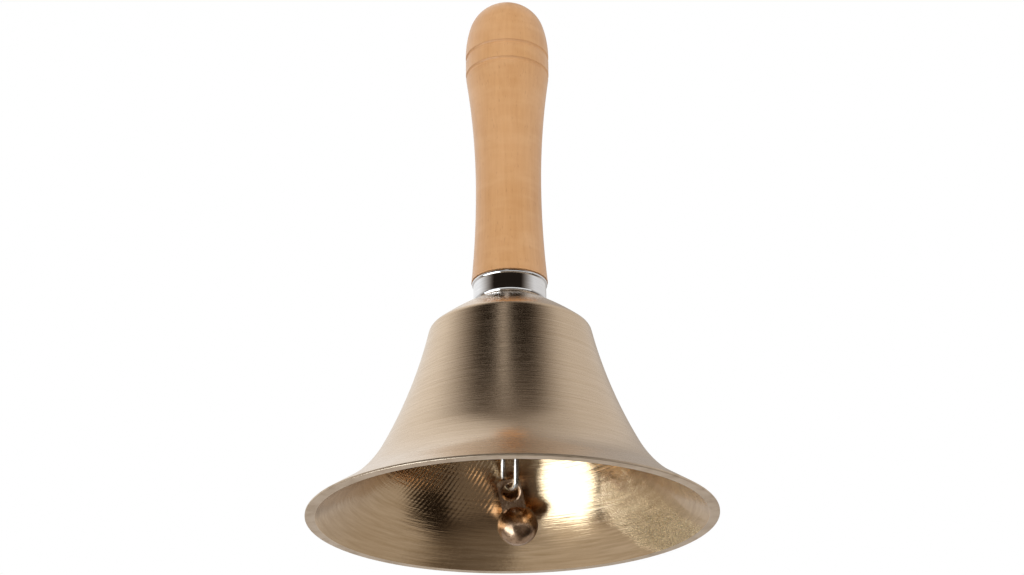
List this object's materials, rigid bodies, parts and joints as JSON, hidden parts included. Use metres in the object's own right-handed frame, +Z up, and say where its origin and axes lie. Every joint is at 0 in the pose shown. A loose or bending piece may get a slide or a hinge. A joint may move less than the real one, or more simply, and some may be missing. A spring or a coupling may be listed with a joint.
{
  "type": "hand bell",
  "caption": "Small brass hand bell with a turned wooden handle, a chrome ferrule and a ball clapper hung on a wire link.",
  "frame": {"origin": "centre of the mouth, on the plane of the lip that the bell stands on", "axes": "+Z up the turned axis from the mouth to the handle; +Y towards the side where the clapper rests; +X completes the right-handed set"},
  "size_m": [0.085, 0.085, 0.1228],
  "materials": {
    "turned_wood": "satin lacquered light maple",
    "ferrule_chrome": "bright plated",
    "bell_brass": "satin brushed outside, turned bright inside",
    "bright_steel": "bright zinc plated wire",
    "clapper_brass": "tarnished polished"
  },
  "bodies": {
    "bell": {"handle": "turned_wood", "ferrule": "ferrule_chrome", "bell_cup": "bell_brass", "crown_washer": "bright_steel", "screw_eye": "bright_steel"},
    "link": {"clapper_link": "bright_steel"},
    "clapper": {"clapper": "clapper_brass"}
  },
  "joints": [
    {"name": "link_swing", "type": "hinge", "parent": "bell", "child": "link", "pos_m": [0, 0, 0.0388], "axis": [1, 0, 0], "range_deg": [-74.4, 0]},
    {"name": "clapper_swing", "type": "hinge", "parent": "link", "child": "clapper", "pos_m": [-0.00056, 0.01951, 0.0131], "axis": [0, 0.7965, 0.6046], "range_deg": [-31.7, 8.3]}
  ]
}
